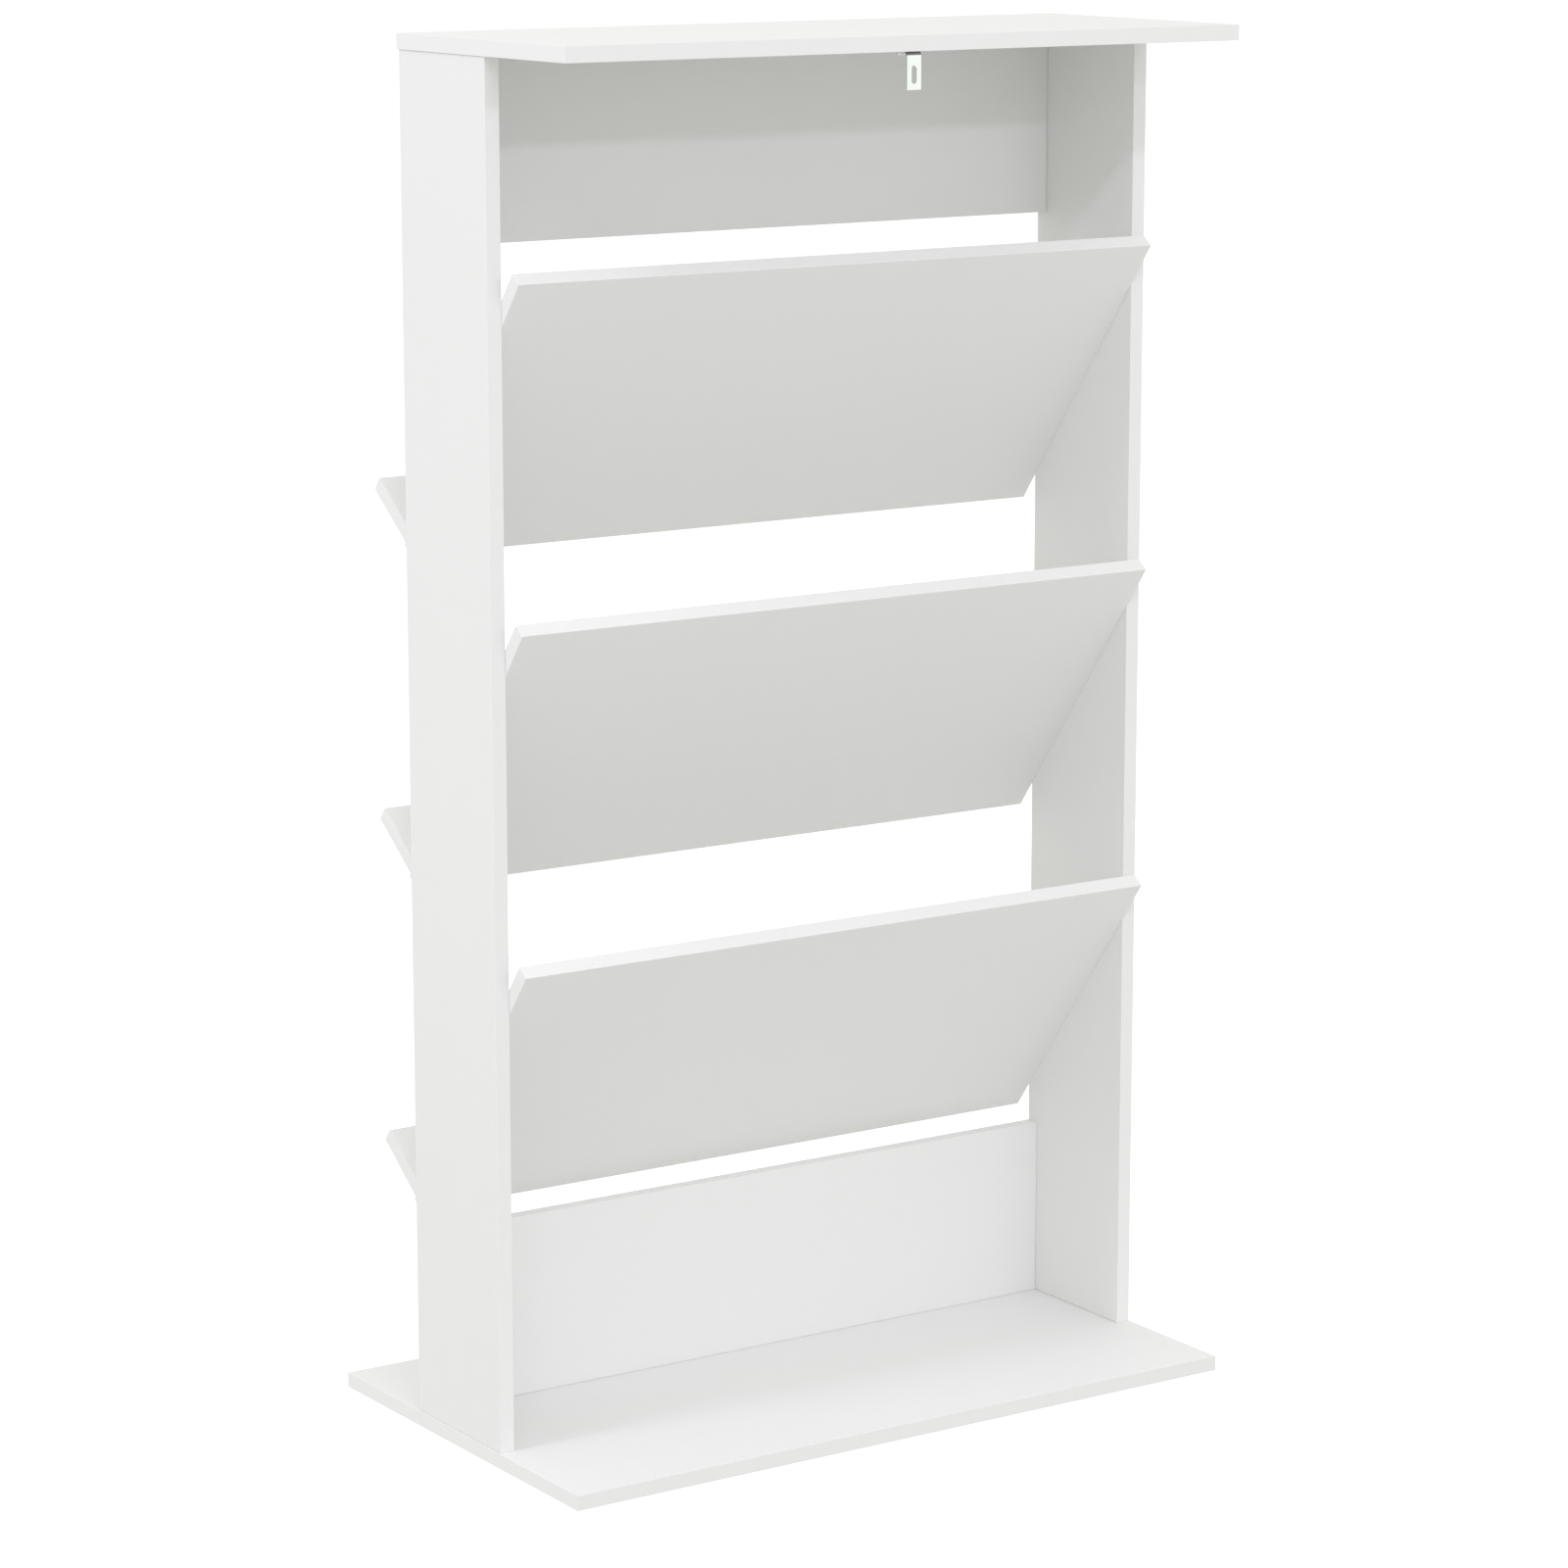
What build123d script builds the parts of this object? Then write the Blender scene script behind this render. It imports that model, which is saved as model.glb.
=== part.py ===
from build123d import *

import math
import os

# A free-standing rack of white-faced boards: three V-shaped trays between two narrow side
# panels, on a wide base and under a top that reaches back to the wall.
# X runs across the width, Y from the wall side (-) to the user's side (+), Z up.
# The origin is on the floor, under the middle of the base. Millimetres.

# Overall size and stock
WIDTH = 600.0
DEPTH = 350.0
HEIGHT = 1070.0
BOARD = 12.0
BAND = 0.5
BAND_ARRIS = 0.3
BARE_ARRIS = 0.6

# Frame
SIDE_DEPTH = 124.0
SIDE_INSET = 1.0
TOP_OVERHANG = 2.0
RAIL_HEIGHT = 145.0

# Trays: a long sloping back with a short lip square to it
TRAY_NAMES = ("lower", "middle", "upper")
TRAY_TILT = math.radians(37.0)
TRAY_PITCH = 256.0
TRAY_GAP = 10.0
TRAY_REACH = 15.0
BACK_LENGTH = 272.0
LIP_REACH = 70.0
LIP_INSET = 3.0

# Cam joints: a disc drilled into a board's hidden face grips the head of a bolt
CAM_HOLE_RADIUS = 6.0
CAM_HOLE_DEPTH = 9.5
CAM_RADIUS = 5.9
CAM_HEIGHT = 9.2
CAM_SUNK = 0.2
CAM_DISTANCE = 24.0
CAM_DRIVE_DEPTH = 1.8
CAM_DRIVE_WIDTH = 1.3
CAM_DRIVE_SPAN = 6.6
CAM_CAVITY_RADIUS = 3.4
CAM_CAVITY_HALF_HEIGHT = 2.8
CAM_NECK_HALF_HEIGHT = 1.7
CAM_NECK_START = -32.0
CAM_NECK_ARC = 110.0
CAM_ENTRY_RADIUS = 2.55
BOLT_THREAD_RADIUS = 2.45
BOLT_THREAD_LENGTH = 8.5
BOLT_THREAD_PITCH = 1.5
BOLT_THREAD_RELIEF = 0.5
BOLT_SHANK_RADIUS = 2.4
BOLT_SHANK_END = 17.0
BOLT_NECK_RADIUS = 1.3
BOLT_HEAD_START = 22.4
BOLT_HEAD_END = 25.6
BOLT_HEAD_RADIUS = 2.4
BOLT_END_HOLE_RADIUS = 2.6
BOLT_FACE_HOLE_RADIUS = 2.5
BOLT_FACE_HOLE_DEPTH = 9.0

# Dowels: the short part is in a board's face, the long part in the other board's edge
DOWEL_RADIUS = 2.95
DOWEL_HOLE_RADIUS = 3.0
DOWEL_IN_FACE = 8.5
DOWEL_IN_EDGE = 16.5
DOWEL_END_ROOM = 0.5
DOWEL_CHAMFER = 0.6

# Countersunk screws up through the base
SCREW_LENGTH = 38.0
SCREW_RADIUS = 2.0
SCREW_HEAD_RADIUS = 4.0
SCREW_HEAD_HEIGHT = 2.3
SCREW_THREAD_START = 14.0
SCREW_THREAD_PITCH = 2.0
SCREW_THREAD_RELIEF = 0.6
SCREW_TIP = 3.0
SCREW_POINT_RADIUS = 0.3
SCREW_RECESS_DEPTH = 1.5
SCREW_RECESS_WIDTH = 0.9
SCREW_RECESS_SPAN = 4.2
SCREW_SUNK = 0.3
SCREW_CLEARANCE = 0.1

# Wall bracket: a bent steel strip under the wall edge of the top
BRACKET_WIDTH = 12.5
BRACKET_LEG = 28.0
BRACKET_STEEL = 1.5
BRACKET_BEND = 1.5
BRACKET_CORNER = 1.0
BRACKET_SETBACK = 4.0
BRACKET_SLOT_LENGTH = 13.5
BRACKET_SLOT_WIDTH = 4.5
BRACKET_SLOT_CENTRE = 17.0
PAN_SCREW_LENGTH = 10.0
PAN_SCREW_RADIUS = 1.7
PAN_HEAD_RADIUS = 3.5
PAN_HEAD_HEIGHT = 2.2
PAN_HEAD_ROUND = 0.9
PAN_THREAD_PITCH = 1.3
PAN_THREAD_RELIEF = 0.4
PAN_TIP = 2.0
PAN_END_ROOM = 1.0

# Where the fasteners sit along each joint
BACK_CAM_STATIONS = (70.0, 205.0)
BACK_DOWEL_STATIONS = (102.0, 173.0)
LIP_CAM_X = (-210.0, 0.0, 210.0)
LIP_DOWEL_X = (-250.0, -105.0, 105.0, 250.0)
RAIL_DOWEL_OFFSETS = (-45.0, 45.0)
TOP_CAM_X = (-200.0, 0.0, 200.0)
TOP_RAIL_DOWEL_X = (-100.0, 100.0)
SIDE_TOP_DOWEL_Y = (-36.0, 24.0)
SIDE_BASE_DOWEL_Y = (0.0,)
SIDE_SCREW_Y = (-36.0, 36.0)
RAIL_BASE_DOWEL_X = (-90.0, 90.0)
RAIL_SCREW_X = (-180.0, 180.0)

# Places worked out from the sizes above
OUTER_X = WIDTH / 2 - SIDE_INSET
INNER_X = OUTER_X - BOARD
SIDE_MID_X = (OUTER_X + INNER_X) / 2
SIDE_Y = SIDE_DEPTH / 2
RAIL_MID_Y = SIDE_Y - BOARD / 2
WALL_Y = -DEPTH / 2
TOP_UNDERSIDE = HEIGHT - BOARD
UPPER_RAIL_Z = TOP_UNDERSIDE - RAIL_HEIGHT
LOWER_RAIL_TOP = BOARD + RAIL_HEIGHT

SIDES = (-1, 1)
ACROSS = Vector(1, 0, 0)
TO_USER = Vector(0, 1, 0)
UP = Vector(0, 0, 1)
UP_SLOPE = Vector(0, -math.sin(TRAY_TILT), math.cos(TRAY_TILT))
OFF_SLOPE = Vector(0, math.cos(TRAY_TILT), math.sin(TRAY_TILT))
# Which way each edge of a board looks, in the board's own x and y
OUTWARD = {"-x": (-1, 0), "+x": (1, 0), "-y": (0, -1), "+y": (0, 1)}


# ---------------------------------------------------------------- boards


def block(frame, x_range, y_range, z_range=(0.0, BOARD)):
    """A cuboid given by its ranges in a local frame."""
    ranges = (x_range, y_range, z_range)
    size = [high - low for low, high in ranges]
    middle = [(high + low) / 2 for low, high in ranges]
    return frame.location * Pos(*middle) * Box(*size)


def end_edges(shape, frame, edge):
    """The edges round the end face of a board or band, on the side that edge names."""
    outward = OUTWARD[edge]
    normal = frame.x_dir * outward[0] + frame.y_dir * outward[1]
    return shape.faces().sort_by(Axis(frame.origin, normal))[-1].edges()


def band_strip(frame, x_range, y_range, edge, full_width):
    """One edge band. The arrises of its outer face are rounded, at its ends only if it is full width."""
    strip = block(frame, x_range, y_range)
    edges = end_edges(strip, frame, edge)
    if not full_width:
        edges = edges.sort_by(SortBy.LENGTH)[-2:]
    return fillet(edges, BAND_ARRIS)


def board_core(frame, x_range, y_range, banded):
    """A board without its bands. The long arrises of its bare ends are broken."""
    core = block(frame, x_range, y_range)
    for edge in OUTWARD:
        if edge not in banded:
            long_edges = end_edges(core, frame, edge).sort_by(SortBy.LENGTH)[-2:]
            core = chamfer(long_edges, BARE_ARRIS)
    return core


def board(frame, x_range, y_range, banded):
    """The core of a board and its edge bands, in a local frame whose z runs through the thickness.

    banded names the banded edges: "-x", "+x", "-y", "+y". The bands along x lap the ends of the others.
    """
    x0, x1 = x_range
    y0, y1 = y_range
    core_x = (x0 + BAND * ("-x" in banded), x1 - BAND * ("+x" in banded))
    core_y = (y0 + BAND * ("-y" in banded), y1 - BAND * ("+y" in banded))
    strips = {
        "-y": ((x0, x1), (y0, core_y[0]), True),
        "+y": ((x0, x1), (core_y[1], y1), True),
        "-x": ((x0, core_x[0]), core_y, False),
        "+x": ((core_x[1], x1), core_y, False),
    }
    bands = []
    for edge in banded:
        strip_x, strip_y, full_width = strips[edge]
        bands.append(band_strip(frame, strip_x, strip_y, edge, full_width))
    return board_core(frame, core_x, core_y, banded), bands


def side_panel(side):
    """A side panel, with its local x up and its z from the inner face outwards."""
    frame = Plane(origin=(side * INNER_X, 0, 0), x_dir=UP, z_dir=ACROSS * side)
    return board(frame, (BOARD, TOP_UNDERSIDE), (-SIDE_Y, SIDE_Y), ("-y", "+y"))


def rail(z_range, banded):
    """A rail between the side panels, with its local z from the user's side towards the wall."""
    frame = Plane(origin=(0, SIDE_Y, 0), x_dir=ACROSS, z_dir=-TO_USER)
    return board(frame, (-INNER_X, INNER_X), z_range, banded)


def tray_corner(level):
    """The lowest corner line of a tray, where the back's lower face meets its lower end."""
    return Vector(0, SIDE_Y + TRAY_REACH, LOWER_RAIL_TOP + TRAY_GAP + level * TRAY_PITCH)


def tray_back(level):
    """The long sloping board, with its local y up the slope and its z from the upper face down."""
    frame = Plane(origin=tray_corner(level) + OFF_SLOPE * BOARD, x_dir=ACROSS, z_dir=-OFF_SLOPE)
    return board(frame, (-INNER_X, INNER_X), (0.0, BACK_LENGTH), ("-x", "+x", "-y", "+y"))


def tray_lip(level):
    """The short board on the back's upper face, with its local y away from the back."""
    inner_face = tray_corner(level) + UP_SLOPE * (LIP_INSET + BOARD)
    frame = Plane(origin=inner_face, x_dir=-ACROSS, z_dir=-UP_SLOPE)
    return board(frame, (-INNER_X, INNER_X), (BOARD, LIP_REACH), ("-x", "+x", "+y"))


def all_boards():
    """Name of each board, with its core and its bands."""
    floor = Plane(origin=(0, 0, 0), x_dir=ACROSS, z_dir=UP)
    under_top = Plane(origin=(0, 0, TOP_UNDERSIDE), x_dir=ACROSS, z_dir=UP)
    all_round = ("-x", "+x", "-y", "+y")
    across_base = (-WIDTH / 2, WIDTH / 2)
    boards = {
        "base_panel": board(floor, across_base, (WALL_Y, -WALL_Y), all_round),
        "top_panel": board(under_top, across_base, (WALL_Y, SIDE_Y + TOP_OVERHANG), all_round),
        "left_side_panel": side_panel(-1),
        "right_side_panel": side_panel(1),
        "upper_rail": rail((UPPER_RAIL_Z, TOP_UNDERSIDE), ("-y",)),
        "lower_rail": rail((BOARD, LOWER_RAIL_TOP), ("+y",)),
    }
    for level, name in enumerate(TRAY_NAMES):
        boards[f"{name}_tray_back"] = tray_back(level)
        boards[f"{name}_tray_lip"] = tray_lip(level)
    return boards


# ---------------------------------------------------------------- fasteners


def rod(radius, z_start, z_end):
    """A cylinder on the local z axis."""
    return Pos(0, 0, (z_start + z_end) / 2) * Cylinder(radius, abs(z_end - z_start))


def turned(points):
    """A solid of revolution about the local z axis, from (radius, z) points that start and end on it."""
    outline = Polyline(*[(radius, 0, z) for radius, z in points], close=True)
    return revolve(make_face(outline), axis=Axis.Z)


def ridges(radius, relief, z_start, z_end, pitch):
    """Outline points of thread ridges, from one end of a thread to the other."""
    count = round(abs(z_end - z_start) / pitch)
    step = (z_end - z_start) / count
    points = []
    for turn in range(count):
        points.append((radius - relief, z_start + turn * step))
        points.append((radius, z_start + (turn + 0.5) * step))
    points.append((radius - relief, z_end))
    return points


def cross_recess(width, span, depth, z_face):
    """Two crossed slots, sunk from z_face towards lower z."""
    bar = Pos(0, 0, z_face - depth / 2) * Box(span, width, depth)
    return bar + Rot(0, 0, 90) * bar


def cam_bolt():
    """A cam bolt: its thread is at negative z, in the other board's face, and its head is in the cam."""
    thread = ridges(
        BOLT_THREAD_RADIUS, BOLT_THREAD_RELIEF, -BOLT_THREAD_LENGTH, -BOLT_THREAD_PITCH / 2, BOLT_THREAD_PITCH
    )
    head_edge = BOLT_HEAD_RADIUS - BOLT_NECK_RADIUS
    points = [
        (0, -BOLT_THREAD_LENGTH),
        *thread,
        (BOLT_SHANK_RADIUS, 0),
        (BOLT_SHANK_RADIUS, BOLT_SHANK_END),
        (BOLT_NECK_RADIUS, BOLT_SHANK_END + head_edge),
        (BOLT_NECK_RADIUS, BOLT_HEAD_START),
        (BOLT_HEAD_RADIUS, BOLT_HEAD_START + head_edge),
        (BOLT_HEAD_RADIUS, BOLT_HEAD_END - head_edge / 2),
        (BOLT_NECK_RADIUS, BOLT_HEAD_END),
        (0, BOLT_HEAD_END),
    ]
    return turned(points)


def cam_disc():
    """A cam, with its axis along local x and open towards the bolt, which comes along z from below."""
    face = BOARD / 2 - CAM_SUNK
    disc = rod(CAM_RADIUS, face - CAM_HEIGHT, face)
    disc -= rod(CAM_CAVITY_RADIUS, -CAM_CAVITY_HALF_HEIGHT, CAM_CAVITY_HALF_HEIGHT)
    slot_section = Pos(CAM_RADIUS, 0, 0) * Rectangle(CAM_RADIUS, 2 * CAM_NECK_HALF_HEIGHT)
    neck_slot = revolve(Plane.XZ * slot_section, axis=Axis.Z, revolution_arc=CAM_NECK_ARC)
    disc -= Rot(0, 0, CAM_NECK_START) * neck_slot
    entry_turn = Rot(0, 0, CAM_NECK_START + CAM_NECK_ARC)
    disc -= entry_turn * Rot(0, 90, 0) * rod(CAM_ENTRY_RADIUS, 0, 2 * CAM_RADIUS)
    disc -= cross_recess(CAM_DRIVE_WIDTH, CAM_DRIVE_SPAN, CAM_DRIVE_DEPTH, face)
    # The disc is made upright with its slot towards +x; this turns its face to +x and the slot to -z.
    return Pos(0, 0, CAM_DISTANCE) * Rot(0, 90, 0) * disc


def dowel():
    """A grooveless dowel: its short part is at negative z."""
    pin = rod(DOWEL_RADIUS, -DOWEL_IN_FACE, DOWEL_IN_EDGE)
    return chamfer(pin.edges().filter_by(GeomType.CIRCLE), DOWEL_CHAMFER)


def base_screw():
    """A countersunk screw that points up, with its head just inside the underside of the base."""
    bottom = SCREW_SUNK
    tip = bottom + SCREW_LENGTH
    thread = ridges(
        SCREW_RADIUS, SCREW_THREAD_RELIEF, bottom + SCREW_THREAD_START, tip - SCREW_TIP, SCREW_THREAD_PITCH
    )
    shank = SCREW_RADIUS - SCREW_THREAD_RELIEF / 2
    points = [
        (0, bottom),
        (SCREW_HEAD_RADIUS, bottom),
        (shank, bottom + SCREW_HEAD_HEIGHT),
        (shank, bottom + SCREW_THREAD_START - SCREW_THREAD_PITCH / 2),
        *thread,
        (SCREW_POINT_RADIUS, tip),
        (0, tip),
    ]
    recess = Rot(180, 0, 0) * cross_recess(SCREW_RECESS_WIDTH, SCREW_RECESS_SPAN, SCREW_RECESS_DEPTH, -bottom)
    return turned(points) - recess


def bracket_screw():
    """A pan-head screw that points up, with its head's underside at z = 0."""
    thread = ridges(
        PAN_SCREW_RADIUS, PAN_THREAD_RELIEF, PAN_THREAD_PITCH, PAN_SCREW_LENGTH - PAN_TIP, PAN_THREAD_PITCH
    )
    shank = PAN_SCREW_RADIUS - PAN_THREAD_RELIEF
    points = [
        (0, -PAN_HEAD_HEIGHT),
        (PAN_HEAD_RADIUS - PAN_HEAD_ROUND, -PAN_HEAD_HEIGHT),
        (PAN_HEAD_RADIUS, PAN_HEAD_ROUND - PAN_HEAD_HEIGHT),
        (PAN_HEAD_RADIUS, 0),
        (shank, 0),
        *thread,
        (SCREW_POINT_RADIUS, PAN_SCREW_LENGTH),
        (0, PAN_SCREW_LENGTH),
    ]
    recess = Rot(180, 0, 0) * cross_recess(
        SCREW_RECESS_WIDTH, SCREW_RECESS_SPAN, SCREW_RECESS_DEPTH, PAN_HEAD_HEIGHT
    )
    return turned(points) - recess


def cam_holes():
    """What a cam joint removes: the disc's hole, the hole along the board and the thread's hole."""
    disc_hole = Pos(0, 0, CAM_DISTANCE) * Rot(0, 90, 0) * rod(
        CAM_HOLE_RADIUS, BOARD / 2 - CAM_HOLE_DEPTH, BOARD / 2
    )
    return [
        disc_hole,
        rod(BOLT_END_HOLE_RADIUS, 0, CAM_DISTANCE),
        rod(BOLT_FACE_HOLE_RADIUS, -BOLT_FACE_HOLE_DEPTH, 0),
    ]


def dowel_holes():
    """What a dowel removes from the two boards it joins."""
    return [rod(DOWEL_HOLE_RADIUS, -DOWEL_IN_FACE - DOWEL_END_ROOM, DOWEL_IN_EDGE + DOWEL_END_ROOM)]


def screw_holes():
    """What a base screw removes: a countersink, and a clearance hole with its pilot hole."""
    head = SCREW_HEAD_RADIUS + SCREW_CLEARANCE
    hole = SCREW_RADIUS + SCREW_CLEARANCE
    sink = turned([
        (0, 0),
        (head, 0),
        (head, SCREW_SUNK),
        (hole, SCREW_SUNK + SCREW_HEAD_HEIGHT),
        (0, SCREW_SUNK + SCREW_HEAD_HEIGHT),
    ])
    return [sink, rod(hole, 0, SCREW_SUNK + SCREW_LENGTH + DOWEL_END_ROOM)]


def bracket_screw_holes():
    """What the bracket's screw removes from the top."""
    return [rod(PAN_SCREW_RADIUS + SCREW_CLEARANCE, BRACKET_STEEL, PAN_SCREW_LENGTH + PAN_END_ROOM)]


# ---------------------------------------------------------------- joints


def at_joint(point, into, face=None):
    """Frame on a joint plane: z runs into the board joined by its edge, x towards the cam's face."""
    return Plane(origin=point, x_dir=face, z_dir=into) if face else Plane(origin=point, z_dir=into)


def tray_joints(level):
    """Cam and dowel frames of one tray: its two ends in the side panels, and its lip on its back."""
    corner = tray_corner(level)
    cams, dowels = [], []
    for side in SIDES:
        end = corner + OFF_SLOPE * (BOARD / 2) + ACROSS * (side * INNER_X)
        inward = ACROSS * -side
        cams += [at_joint(end + UP_SLOPE * s, inward, OFF_SLOPE) for s in BACK_CAM_STATIONS]
        dowels += [at_joint(end + UP_SLOPE * s, inward) for s in BACK_DOWEL_STATIONS]
    seat = corner + OFF_SLOPE * BOARD + UP_SLOPE * (LIP_INSET + BOARD / 2)
    cams += [at_joint(seat + ACROSS * x, OFF_SLOPE, UP_SLOPE) for x in LIP_CAM_X]
    dowels += [at_joint(seat + ACROSS * x, OFF_SLOPE) for x in LIP_DOWEL_X]
    return cams, dowels


def frame_joints():
    """Cam and dowel frames of the rails, side panels, base and top."""
    cams, dowels = [], []
    for side in SIDES:
        inward = ACROSS * -side
        for middle_z in (UPPER_RAIL_Z + RAIL_HEIGHT / 2, BOARD + RAIL_HEIGHT / 2):
            end = Vector(side * INNER_X, RAIL_MID_Y, middle_z)
            cams.append(at_joint(end, inward, TO_USER))
            dowels += [at_joint(end + UP * offset, inward) for offset in RAIL_DOWEL_OFFSETS]
        for y in SIDE_TOP_DOWEL_Y:
            dowels.append(at_joint(Vector(side * SIDE_MID_X, y, TOP_UNDERSIDE), -UP))
        for y in SIDE_BASE_DOWEL_Y:
            dowels.append(at_joint(Vector(side * SIDE_MID_X, y, BOARD), UP))
    cams += [at_joint(Vector(x, RAIL_MID_Y, TOP_UNDERSIDE), -UP, TO_USER) for x in TOP_CAM_X]
    dowels += [at_joint(Vector(x, RAIL_MID_Y, TOP_UNDERSIDE), -UP) for x in TOP_RAIL_DOWEL_X]
    dowels += [at_joint(Vector(x, RAIL_MID_Y, BOARD), UP) for x in RAIL_BASE_DOWEL_X]
    return cams, dowels


def screw_places():
    """Frames of the base screws, on the floor."""
    side_places = [Vector(side * SIDE_MID_X, y, 0) for side in SIDES for y in SIDE_SCREW_Y]
    rail_places = [Vector(x, RAIL_MID_Y, 0) for x in RAIL_SCREW_X]
    return [at_joint(place, UP) for place in side_places + rail_places]


def repeat(shapes, frames):
    """Every shape, moved to every frame."""
    return [frame.location * shape for frame in frames for shape in shapes]


# ---------------------------------------------------------------- wall bracket


def wall_bracket():
    """The bent strip: one leg flat under the top, the other hanging down, with a slot in each."""
    outer = BRACKET_BEND + BRACKET_STEEL
    corner = (WALL_Y + BRACKET_SETBACK, TOP_UNDERSIDE)
    path = [(BRACKET_LEG, 0), (0, 0), (0, -BRACKET_LEG)]
    inside = [(BRACKET_STEEL, -BRACKET_LEG), (BRACKET_STEEL, -BRACKET_STEEL), (BRACKET_LEG, -BRACKET_STEEL)]
    profile = make_face(Polyline(*path, *inside, close=True))
    by_corner = profile.vertices().sort_by_distance(Vertex(0, 0, 0))
    profile = fillet(by_corner[0], outer)
    inner_vertex = profile.vertices().sort_by_distance(Vertex(BRACKET_STEEL, -BRACKET_STEEL, 0))[0]
    profile = fillet(inner_vertex, BRACKET_BEND)
    strip = extrude(profile, BRACKET_WIDTH / 2, both=True)
    # The profile's x is the horizontal leg's direction, its y is up and its z is across the strip.
    place = Plane(origin=(0, *corner), x_dir=TO_USER, z_dir=ACROSS)
    slot = extrude(SlotOverall(BRACKET_SLOT_LENGTH, BRACKET_SLOT_WIDTH), BRACKET_STEEL * 2, both=True)
    flat_slot = Pos(BRACKET_SLOT_CENTRE, -BRACKET_STEEL / 2, 0) * Rot(90, 0, 0) * slot
    hanging_slot = Pos(BRACKET_STEEL / 2, -BRACKET_SLOT_CENTRE, 0) * Rot(0, 0, 90) * Rot(90, 0, 0) * slot
    strip -= [flat_slot, hanging_slot]
    tips = strip.edges().filter_by(lambda edge: abs(edge.length - BRACKET_STEEL) < 0.01)
    return place.location * fillet(tips, BRACKET_CORNER)


def bracket_screw_place():
    """Frame of the bracket's screw, at the underside of the flat leg and in the middle of its slot."""
    y = WALL_Y + BRACKET_SETBACK + BRACKET_SLOT_CENTRE
    return at_joint(Vector(0, y, TOP_UNDERSIDE - BRACKET_STEEL), UP)


# ---------------------------------------------------------------- assembly


def touches(shape, tool):
    """Whether the bounding boxes of two shapes overlap."""
    a, b = shape.bounding_box(), tool.bounding_box()
    lows = zip(tuple(a.min), tuple(b.max))
    highs = zip(tuple(b.min), tuple(a.max))
    return all(low < high for low, high in (*lows, *highs))


def drilled(shape, tools):
    """The shape with every hole that reaches it."""
    near = [tool for tool in tools if touches(shape, tool)]
    return shape - near if near else shape


def as_node(solids):
    """One shape for a node made of several solids."""
    return Compound([solid for shape in solids for solid in shape.solids()])


def build():
    """Every node's name and shape."""
    cams, dowels = frame_joints()
    for level in range(len(TRAY_NAMES)):
        tray_cams, tray_dowels = tray_joints(level)
        cams += tray_cams
        dowels += tray_dowels
    screws = screw_places()
    bracket_place = bracket_screw_place()
    tools = repeat(cam_holes(), cams) + repeat(dowel_holes(), dowels)
    tools += repeat(screw_holes(), screws) + repeat(bracket_screw_holes(), [bracket_place])

    nodes = {}
    for name, (core, bands) in all_boards().items():
        nodes[name] = drilled(core, tools)
        nodes[f"{name}_edge_bands"] = as_node([drilled(band, tools) for band in bands])
    nodes["cam_locks"] = as_node(repeat([cam_disc()], cams))
    nodes["cam_bolts"] = as_node(repeat([cam_bolt()], cams))
    nodes["wooden_dowels"] = as_node(repeat([dowel()], dowels))
    nodes["base_screws"] = as_node(repeat([base_screw()], screws))
    nodes["wall_bracket"] = wall_bracket()
    nodes["bracket_screw"] = bracket_place.location * bracket_screw()
    return nodes


os.makedirs("parts", exist_ok=True)
for node_name, node_shape in build().items():
    export_step(node_shape, f"parts/{node_name}.step")
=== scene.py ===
import math

import bpy
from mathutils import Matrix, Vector


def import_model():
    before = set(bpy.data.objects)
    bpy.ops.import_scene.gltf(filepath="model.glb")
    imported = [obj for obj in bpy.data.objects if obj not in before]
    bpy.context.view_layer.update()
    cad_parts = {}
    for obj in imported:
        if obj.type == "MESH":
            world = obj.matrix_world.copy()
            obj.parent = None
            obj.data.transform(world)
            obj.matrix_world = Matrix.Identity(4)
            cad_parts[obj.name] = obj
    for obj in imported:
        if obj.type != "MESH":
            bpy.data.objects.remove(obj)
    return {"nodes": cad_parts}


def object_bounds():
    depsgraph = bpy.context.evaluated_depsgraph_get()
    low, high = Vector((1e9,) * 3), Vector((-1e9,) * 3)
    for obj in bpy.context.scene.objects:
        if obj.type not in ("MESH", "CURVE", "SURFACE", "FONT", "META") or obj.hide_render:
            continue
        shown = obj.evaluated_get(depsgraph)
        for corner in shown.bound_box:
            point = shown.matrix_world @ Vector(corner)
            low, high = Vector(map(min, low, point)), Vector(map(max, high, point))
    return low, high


# The looks of the magazine rack: its materials, a pale studio and the camera.
# Metres, in the row frame: -Y is the wall side, +Y the user's side, +Z up.

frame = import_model()
cad_low, cad_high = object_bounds()

CENTRE = (cad_low + cad_high) / 2

# Camera: a long lens from the wall side, to the left, a little above the middle
CAMERA_YAW = math.radians(33.75)
CAMERA_PITCH = math.radians(11.33)
CAMERA_DISTANCE = 3.84
CAMERA_LENS = 113.3
CAMERA_SENSOR = 36.0
AIM_DROP = 0.0494

# Studio: how brightly the surround lights the rack from above and from below the horizon, and how
# bright it looks to the camera and in reflections
SURROUND_COLOUR = (0.99, 1.0, 0.955)
SKY = 0.845
GROUND = 0.645
BACKDROP = 1.1
FLOOR_HALF_SIZE = 12.0
FLOOR_GAP = 0.0001
FLOOR_COLOUR = (0.95, 0.95, 0.95)
FLOOR_CLOUDING = 0.99
FLOOR_GLOW = 0.35
LAMP_COLOUR = (0.885, 0.865, 1.0)

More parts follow.
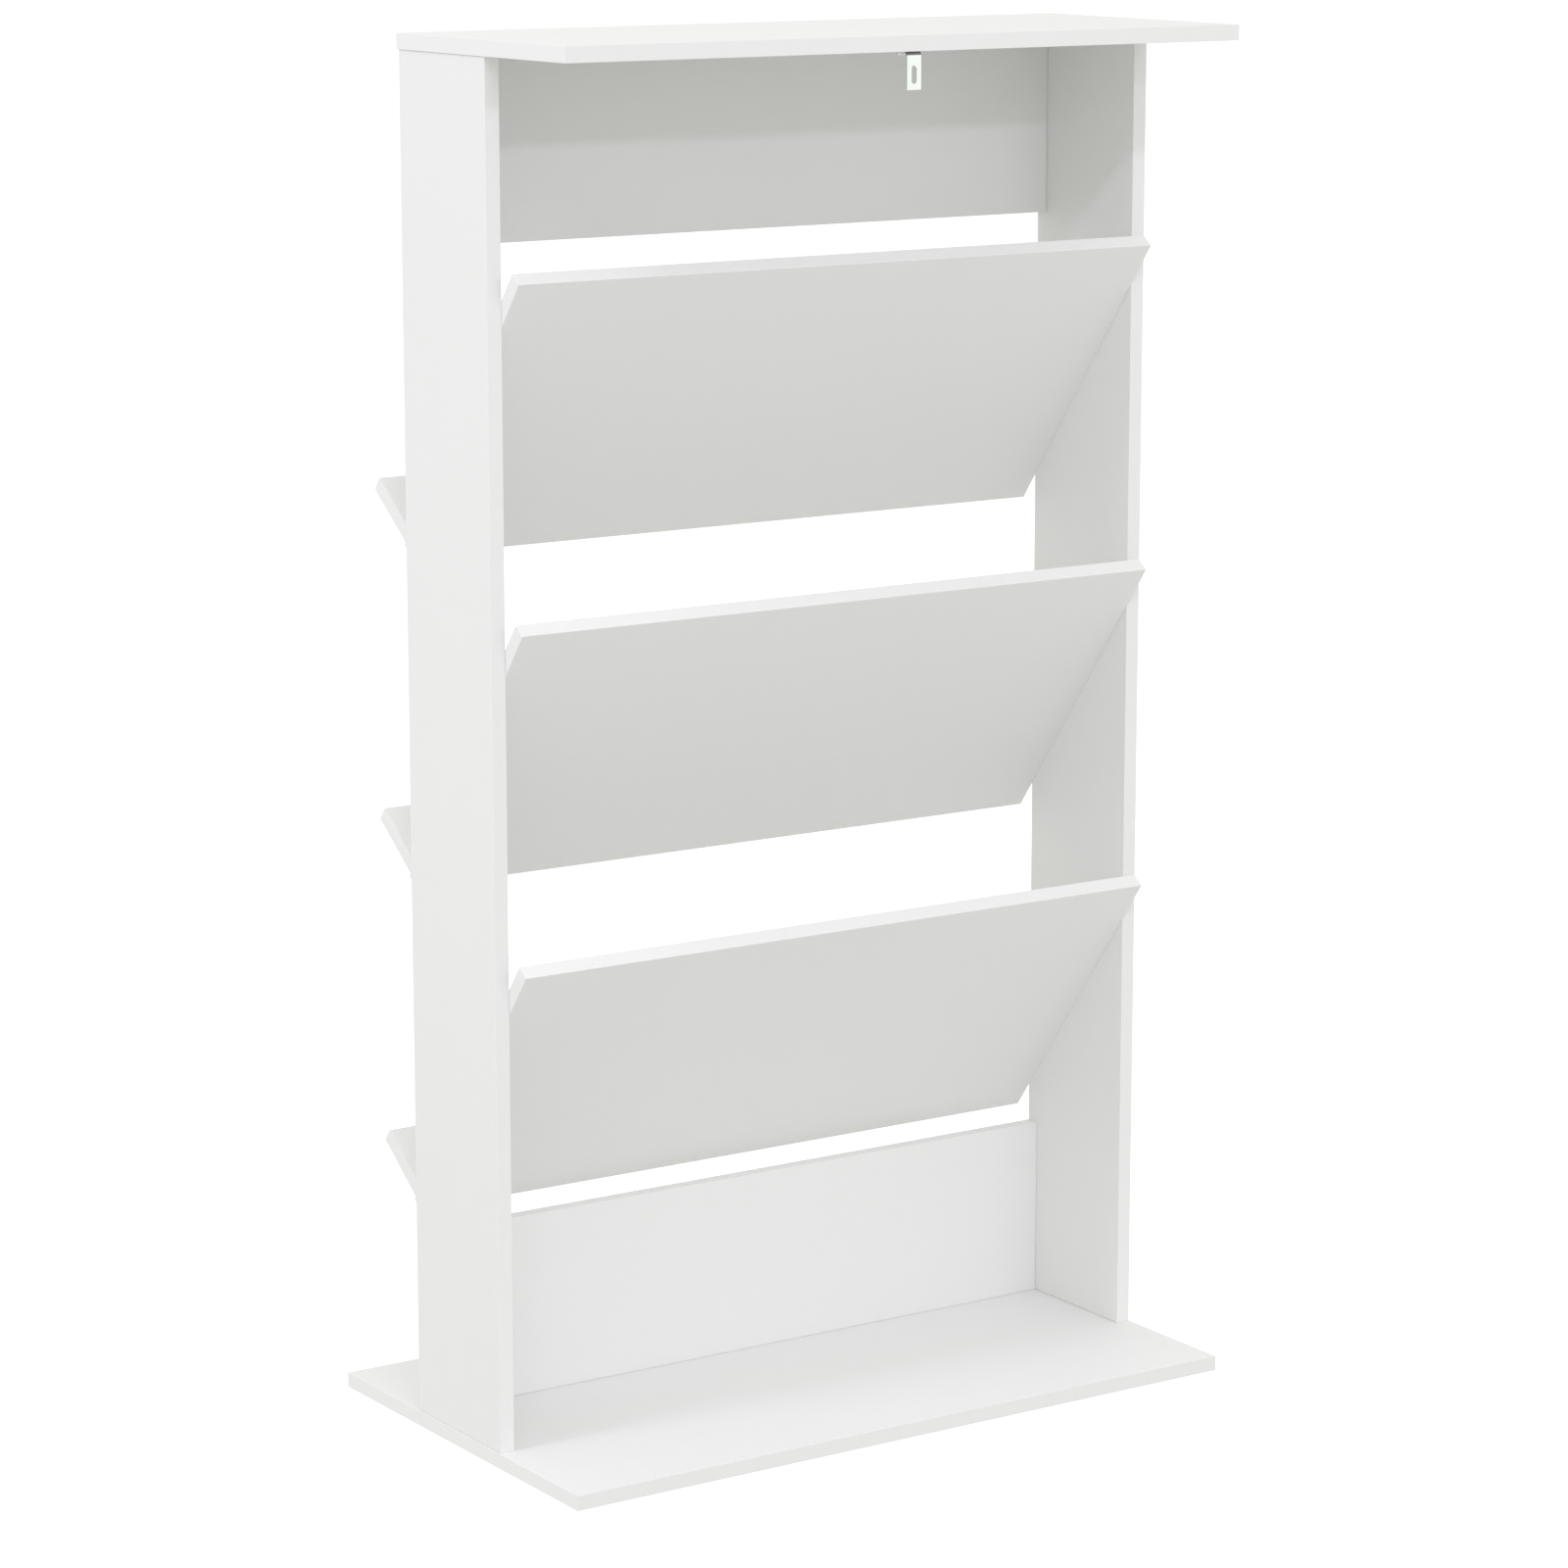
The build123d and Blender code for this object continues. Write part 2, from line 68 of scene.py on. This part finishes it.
# Lamps: name, position, width, height and power. The strips lie along X, so they blur what they
# cast sideways and keep the shadow of the top's edge crisp.
STRIPS = (
    ("front_strip", (0.5, -5.9, 2.95), 4.0, 0.2, 44.0),
    ("front_left_strip", (-3.0, -5.5, 5.35), 4.5, 0.35, 106.0),
)
SIDE_LAMPS = (
    ("side_lamp", (-3.0, 0.0, 1.5), 0.4, 0.4, 10.5),
    ("high_side_lamp", (-3.0, 0.0, 4.5), 1.0, 1.0, 28.0),
)

# Colours of the materials, in pairs between which the fine pattern runs
MELAMINE_COLOURS = ((0.853, 0.855, 0.847), (0.863, 0.865, 0.857))
MELAMINE_PEARL = (0.88, 0.882, 0.875)
BAND_COLOURS = ((0.86, 0.86, 0.856), (0.87, 0.87, 0.866))
BRIGHT_ZINC_COLOURS = ((0.9, 0.93, 0.925), (0.94, 0.965, 0.96))
DIE_CAST_COLOURS = ((0.55, 0.55, 0.54), (0.68, 0.68, 0.67))
PLATED_STEEL_COLOURS = ((0.62, 0.62, 0.63), (0.75, 0.75, 0.76))
BEECH_COLOURS = ((0.62, 0.43, 0.26), (0.45, 0.28, 0.15))
# Painted shade and reflection: a dark grey for the bracket's bend, where the top's shadow and dark
# underside show
PAINTED_BEND_SHADE = (0.3, 0.3, 0.3)
METAL_GRAIN = 500.0
BEECH_GRAIN = (900.0, 900.0, 120.0)

# Where the painted shade on the bracket's bend goes: its outer radius, the bracket's distance from
# the top's wall edge and the top's thickness. The painted shade fades in over the last distance.
BRACKET_BEND_RADIUS = 0.003
BRACKET_SETBACK = 0.004
TOP_THICKNESS = 0.012
PAINTED_SHADE_FADE = 0.0003

BOARD_ENDINGS = ("_panel", "_rail", "_back", "_lip")
BOARD_NODES = [name for name in frame["nodes"] if name.endswith(BOARD_ENDINGS)]
BAND_NODES = [name for name in frame["nodes"] if name.endswith("_edge_bands")]


# ---------------------------------------------------------------- material nodes


class Shader:
    """A new node material with its Principled shader, and short ways to add nodes to it."""

    def __init__(self, name):
        self.material = bpy.data.materials.new(name)
        self.material.use_nodes = True
        self.tree = self.material.node_tree
        self.surface = self.tree.nodes["Principled BSDF"]
        self.place = self.tree.nodes.new("ShaderNodeTexCoord").outputs["Object"]

    def set(self, **values):
        """Sets the shader's own sockets; an underscore in a name stands for a space."""
        for name, value in values.items():
            self.surface.inputs[name.replace("_", " ")].default_value = value

    def link(self, source, target):
        self.tree.links.new(source, target)

    def connect(self, colour, roughness, normal):
        """Links the shader's colour, roughness and normal."""
        for name, socket in (("Base Color", colour), ("Roughness", roughness), ("Normal", normal)):
            self.link(socket, self.surface.inputs[name])

    def stretched(self, scale):
        """The row frame's coordinates, scaled by a vector."""
        node = self.tree.nodes.new("ShaderNodeMapping")
        node.inputs["Scale"].default_value = scale
        self.link(self.place, node.inputs["Vector"])
        return node.outputs["Vector"]

    def noise(self, scale, detail=2.0, roughness=0.5, coordinates=None):
        """A noise value around a half; scale is in features per metre."""
        node = self.tree.nodes.new("ShaderNodeTexNoise")
        node.inputs["Scale"].default_value = scale
        node.inputs["Detail"].default_value = detail
        node.inputs["Roughness"].default_value = roughness
        self.link(coordinates or self.place, node.inputs["Vector"])
        return node.outputs["Fac"]

    def remap(self, value, low, high, source=(0.3, 0.7)):
        """The value's source range, spread over low to high."""
        node = self.tree.nodes.new("ShaderNodeMapRange")
        node.inputs["From Min"].default_value = source[0]
        node.inputs["From Max"].default_value = source[1]
        node.inputs["To Min"].default_value = low
        node.inputs["To Max"].default_value = high
        self.link(value, node.inputs["Value"])
        return node.outputs["Result"]

    def blend(self, factor, first, second):
        """A colour between two colours or colour sockets."""
        node = self.tree.nodes.new("ShaderNodeMix")
        node.data_type = "RGBA"
        self.link(factor, node.inputs["Factor"])
        for name, colour in (("A", first), ("B", second)):
            socket = next(i for i in node.inputs if i.name == name and i.type == "RGBA")
            if isinstance(colour, bpy.types.NodeSocket):
                self.link(colour, socket)
            else:
                socket.default_value = (*colour, 1.0)
        return next(o for o in node.outputs if o.type == "RGBA")

    def bump(self, height, distance, strength=1.0, below=None):
        """Adds a bump of the given height in metres; below is a coarser bump under it."""
        node = self.tree.nodes.new("ShaderNodeBump")
        node.inputs["Strength"].default_value = strength
        node.inputs["Distance"].default_value = distance
        self.link(height, node.inputs["Height"])
        if below is not None:
            self.link(below, node.inputs["Normal"])
        return node.outputs["Normal"]


def melamine():
    """White melamine: a satin face with fine pearl dimples and a faint clouding."""
    shader = Shader("white_melamine")
    clouds = shader.remap(shader.noise(scale=3.0, detail=3.0), 0.0, 1.0)
    pearls = shader.remap(shader.noise(scale=700.0), 0.0, 1.0)
    base = shader.blend(clouds, *MELAMINE_COLOURS)
    colour = shader.blend(shader.remap(pearls, 0.0, 0.3, source=(0.0, 1.0)), base, MELAMINE_PEARL)
    waves = shader.bump(shader.noise(scale=6.0, detail=1.0), distance=0.0002, strength=0.3)
    dimples = shader.bump(shader.noise(scale=900.0), distance=0.00002, strength=0.35, below=waves)
    roughness = shader.remap(shader.noise(scale=40.0, detail=3.0), 0.42, 0.52)
    shader.connect(colour, roughness, dimples)
    shader.set(IOR=1.5, Specular_IOR_Level=0.4)
    return shader.material


def edge_band():
    """White plastic edge band: smoother than the faces and a touch brighter."""
    shader = Shader("white_edge_band")
    clouds = shader.remap(shader.noise(scale=60.0, detail=3.0), 0.0, 1.0)
    colour = shader.blend(clouds, *BAND_COLOURS)
    roughness = shader.remap(shader.noise(scale=90.0), 0.32, 0.42)
    relief = shader.bump(shader.noise(scale=1200.0), distance=0.00001, strength=0.3)
    shader.connect(colour, roughness, relief)
    shader.set(IOR=1.5, Specular_IOR_Level=0.5)
    return shader.material


def zinc(name, colours, roughness, painted_shade_corner=None):
    """Zinc-plated or die-cast metal with a fine mottled finish.

    The corner argument, when given, is the y and z beyond which, towards the wall and up, a dark
    grey is painted in as the shade and the dark reflection in the bracket's bend.
    """
    shader = Shader(name)
    spangle = shader.remap(shader.noise(scale=METAL_GRAIN, detail=3.0, roughness=0.6), 0.0, 1.0)
    colour = shader.blend(spangle, *colours)
    if painted_shade_corner is not None:
        y, z = painted_shade_corner
        axes = shader.tree.nodes.new("ShaderNodeSeparateXYZ")
        shader.link(shader.place, axes.inputs[0])
        outer = shader.remap(axes.outputs["Y"], 1.0, 0.0, source=(y, y + PAINTED_SHADE_FADE))
        high = shader.remap(axes.outputs["Z"], 0.0, 1.0, source=(z, z + PAINTED_SHADE_FADE))
        both = shader.tree.nodes.new("ShaderNodeMath")
        both.operation = "MULTIPLY"
        shader.link(outer, both.inputs[0])
        shader.link(high, both.inputs[1])
        # Painted shade and reflection: the bend's corner is blended to dark grey where the top's
        # shadow falls
        colour = shader.blend(both.outputs[0], colour, PAINTED_BEND_SHADE)
    mottle = shader.bump(shader.noise(scale=METAL_GRAIN * 3), distance=0.00001, strength=0.4)
    shader.connect(colour, shader.remap(shader.noise(scale=METAL_GRAIN * 2), *roughness), mottle)
    shader.set(Metallic=1.0)
    return shader.material


def beech():
    """Bare beech dowels with short dark flecks."""
    shader = Shader("beech")
    along = shader.stretched(BEECH_GRAIN)
    fibres = shader.noise(scale=1.0, detail=4.0, roughness=0.6, coordinates=along)
    colour = shader.blend(shader.remap(fibres, 0.0, 1.0, source=(0.45, 0.7)), *BEECH_COLOURS)
    fibre_relief = shader.bump(fibres, distance=0.0001, strength=0.5)
    shader.connect(colour, shader.remap(fibres, 0.55, 0.7), fibre_relief)
    return shader.material


def studio_floor():
    """A pale matt floor with hardly visible clouding, a little luminous so that it stays white."""
    shader = Shader("studio_floor")
    clouded = tuple(channel * FLOOR_CLOUDING for channel in FLOOR_COLOUR)
    colour = shader.blend(shader.noise(scale=0.8), FLOOR_COLOUR, clouded)
    shader.link(colour, shader.surface.inputs["Base Color"])
    shader.set(Roughness=0.9, Specular_IOR_Level=0.0)
    shader.set(Emission_Color=(1.0, 1.0, 1.0, 1.0), Emission_Strength=FLOOR_GLOW)
    return shader.material


def dress(node_names, material):
    """Gives CAD nodes one material."""
    for name in node_names:
        for slot in frame["nodes"][name].material_slots:
            slot.link = "OBJECT"
            slot.material = material


# ---------------------------------------------------------------- studio


def floor():
    """The floor, just under the rack's underside."""
    half = FLOOR_HALF_SIZE
    z = cad_low.z - FLOOR_GAP
    mesh = bpy.data.meshes.new("studio_floor")
    corners = [(-half, -half, z), (half, -half, z), (half, half, z), (-half, half, z)]
    mesh.from_pydata(corners, [], [(0, 1, 2, 3)])
    mesh.materials.append(studio_floor())
    plane = bpy.data.objects.new("studio_floor", mesh)
    bpy.context.scene.collection.objects.link(plane)
    plane.visible_diffuse = False
    plane.visible_glossy = False
    plane.visible_shadow = False


def world():
    """A plain surround, darker below the horizon, but white to the camera and in reflections."""
    surround = bpy.data.worlds.new("studio")
    surround.use_nodes = True
    tree = surround.node_tree

    def maths(operation, *values):
        node = tree.nodes.new("ShaderNodeMath")
        node.operation = operation
        for socket, value in zip(node.inputs, values):
            if isinstance(value, bpy.types.NodeSocket):
                tree.links.new(value, socket)
            else:
                socket.default_value = value
        return node.outputs[0]

    axes = tree.nodes.new("ShaderNodeSeparateXYZ")
    tree.links.new(tree.nodes.new("ShaderNodeTexCoord").outputs["Generated"], axes.inputs[0])
    above = maths("GREATER_THAN", axes.outputs["Z"], 0.0)
    below = maths("LESS_THAN", axes.outputs["Z"], 0.0)
    light = maths("ADD", maths("MULTIPLY", above, SKY), maths("MULTIPLY", below, GROUND))
    path = tree.nodes.new("ShaderNodeLightPath")
    mirrored = maths("MULTIPLY", path.outputs["Is Glossy Ray"], below)
    seen = maths("MAXIMUM", path.outputs["Is Camera Ray"], mirrored)
    background = tree.nodes["Background"]
    background.inputs["Color"].default_value = (*SURROUND_COLOUR, 1.0)
    strength = maths("MAXIMUM", light, maths("MULTIPLY", seen, BACKDROP))
    tree.links.new(strength, background.inputs["Strength"])
    bpy.context.scene.world = surround


def lamp(name, position, width, height, power, aim):
    """A soft light that faces along aim. It leaves no glare in the boards."""
    data = bpy.data.lights.new(name, "AREA")
    data.shape = "RECTANGLE"
    data.size = width
    data.size_y = height
    data.energy = power
    data.color = LAMP_COLOUR
    light = bpy.data.objects.new(name, data)
    light.location = position
    light.rotation_euler = aim.to_track_quat("-Z", "Y").to_euler()
    light.visible_glossy = False
    bpy.context.scene.collection.objects.link(light)


def camera():
    """The camera on the wall side."""
    ahead = Vector((
        math.sin(CAMERA_YAW) * math.cos(CAMERA_PITCH),
        math.cos(CAMERA_YAW) * math.cos(CAMERA_PITCH),
        -math.sin(CAMERA_PITCH),
    ))
    turn = ahead.to_track_quat("-Z", "Y")
    up = turn @ Vector((0, 1, 0))
    data = bpy.data.cameras.new("camera")
    data.lens = CAMERA_LENS
    data.sensor_width = CAMERA_SENSOR
    view = bpy.data.objects.new("camera", data)
    view.location = CENTRE - up * AIM_DROP - ahead * CAMERA_DISTANCE
    view.rotation_euler = turn.to_euler()
    bpy.context.scene.collection.objects.link(view)
    bpy.context.scene.camera = view


# ---------------------------------------------------------------- scene

dress(BOARD_NODES, melamine())
dress(BAND_NODES, edge_band())
# The bracket's bend corner, where its shade and dark reflection are painted into the colour
bend = (
    cad_low.y + BRACKET_SETBACK + BRACKET_BEND_RADIUS,
    cad_high.z - TOP_THICKNESS - BRACKET_BEND_RADIUS,
)
dress(["wall_bracket"], zinc("bright_zinc", BRIGHT_ZINC_COLOURS, (0.2, 0.28), painted_shade_corner=bend))
dress(["cam_locks"], zinc("die_cast_zinc", DIE_CAST_COLOURS, (0.3, 0.45)))
plated_steel = zinc("plated_steel", PLATED_STEEL_COLOURS, (0.25, 0.4))
dress(["cam_bolts", "base_screws", "bracket_screw"], plated_steel)
dress(["wooden_dowels"], beech())

floor()
world()
for strip in STRIPS:
    towards = CENTRE - Vector(strip[1])
    lamp(*strip, aim=Vector((0, towards.y, towards.z)))
for side_lamp in SIDE_LAMPS:
    lamp(*side_lamp, aim=CENTRE - Vector(side_lamp[1]))
camera()
bpy.context.scene.view_settings.view_transform = "Standard"
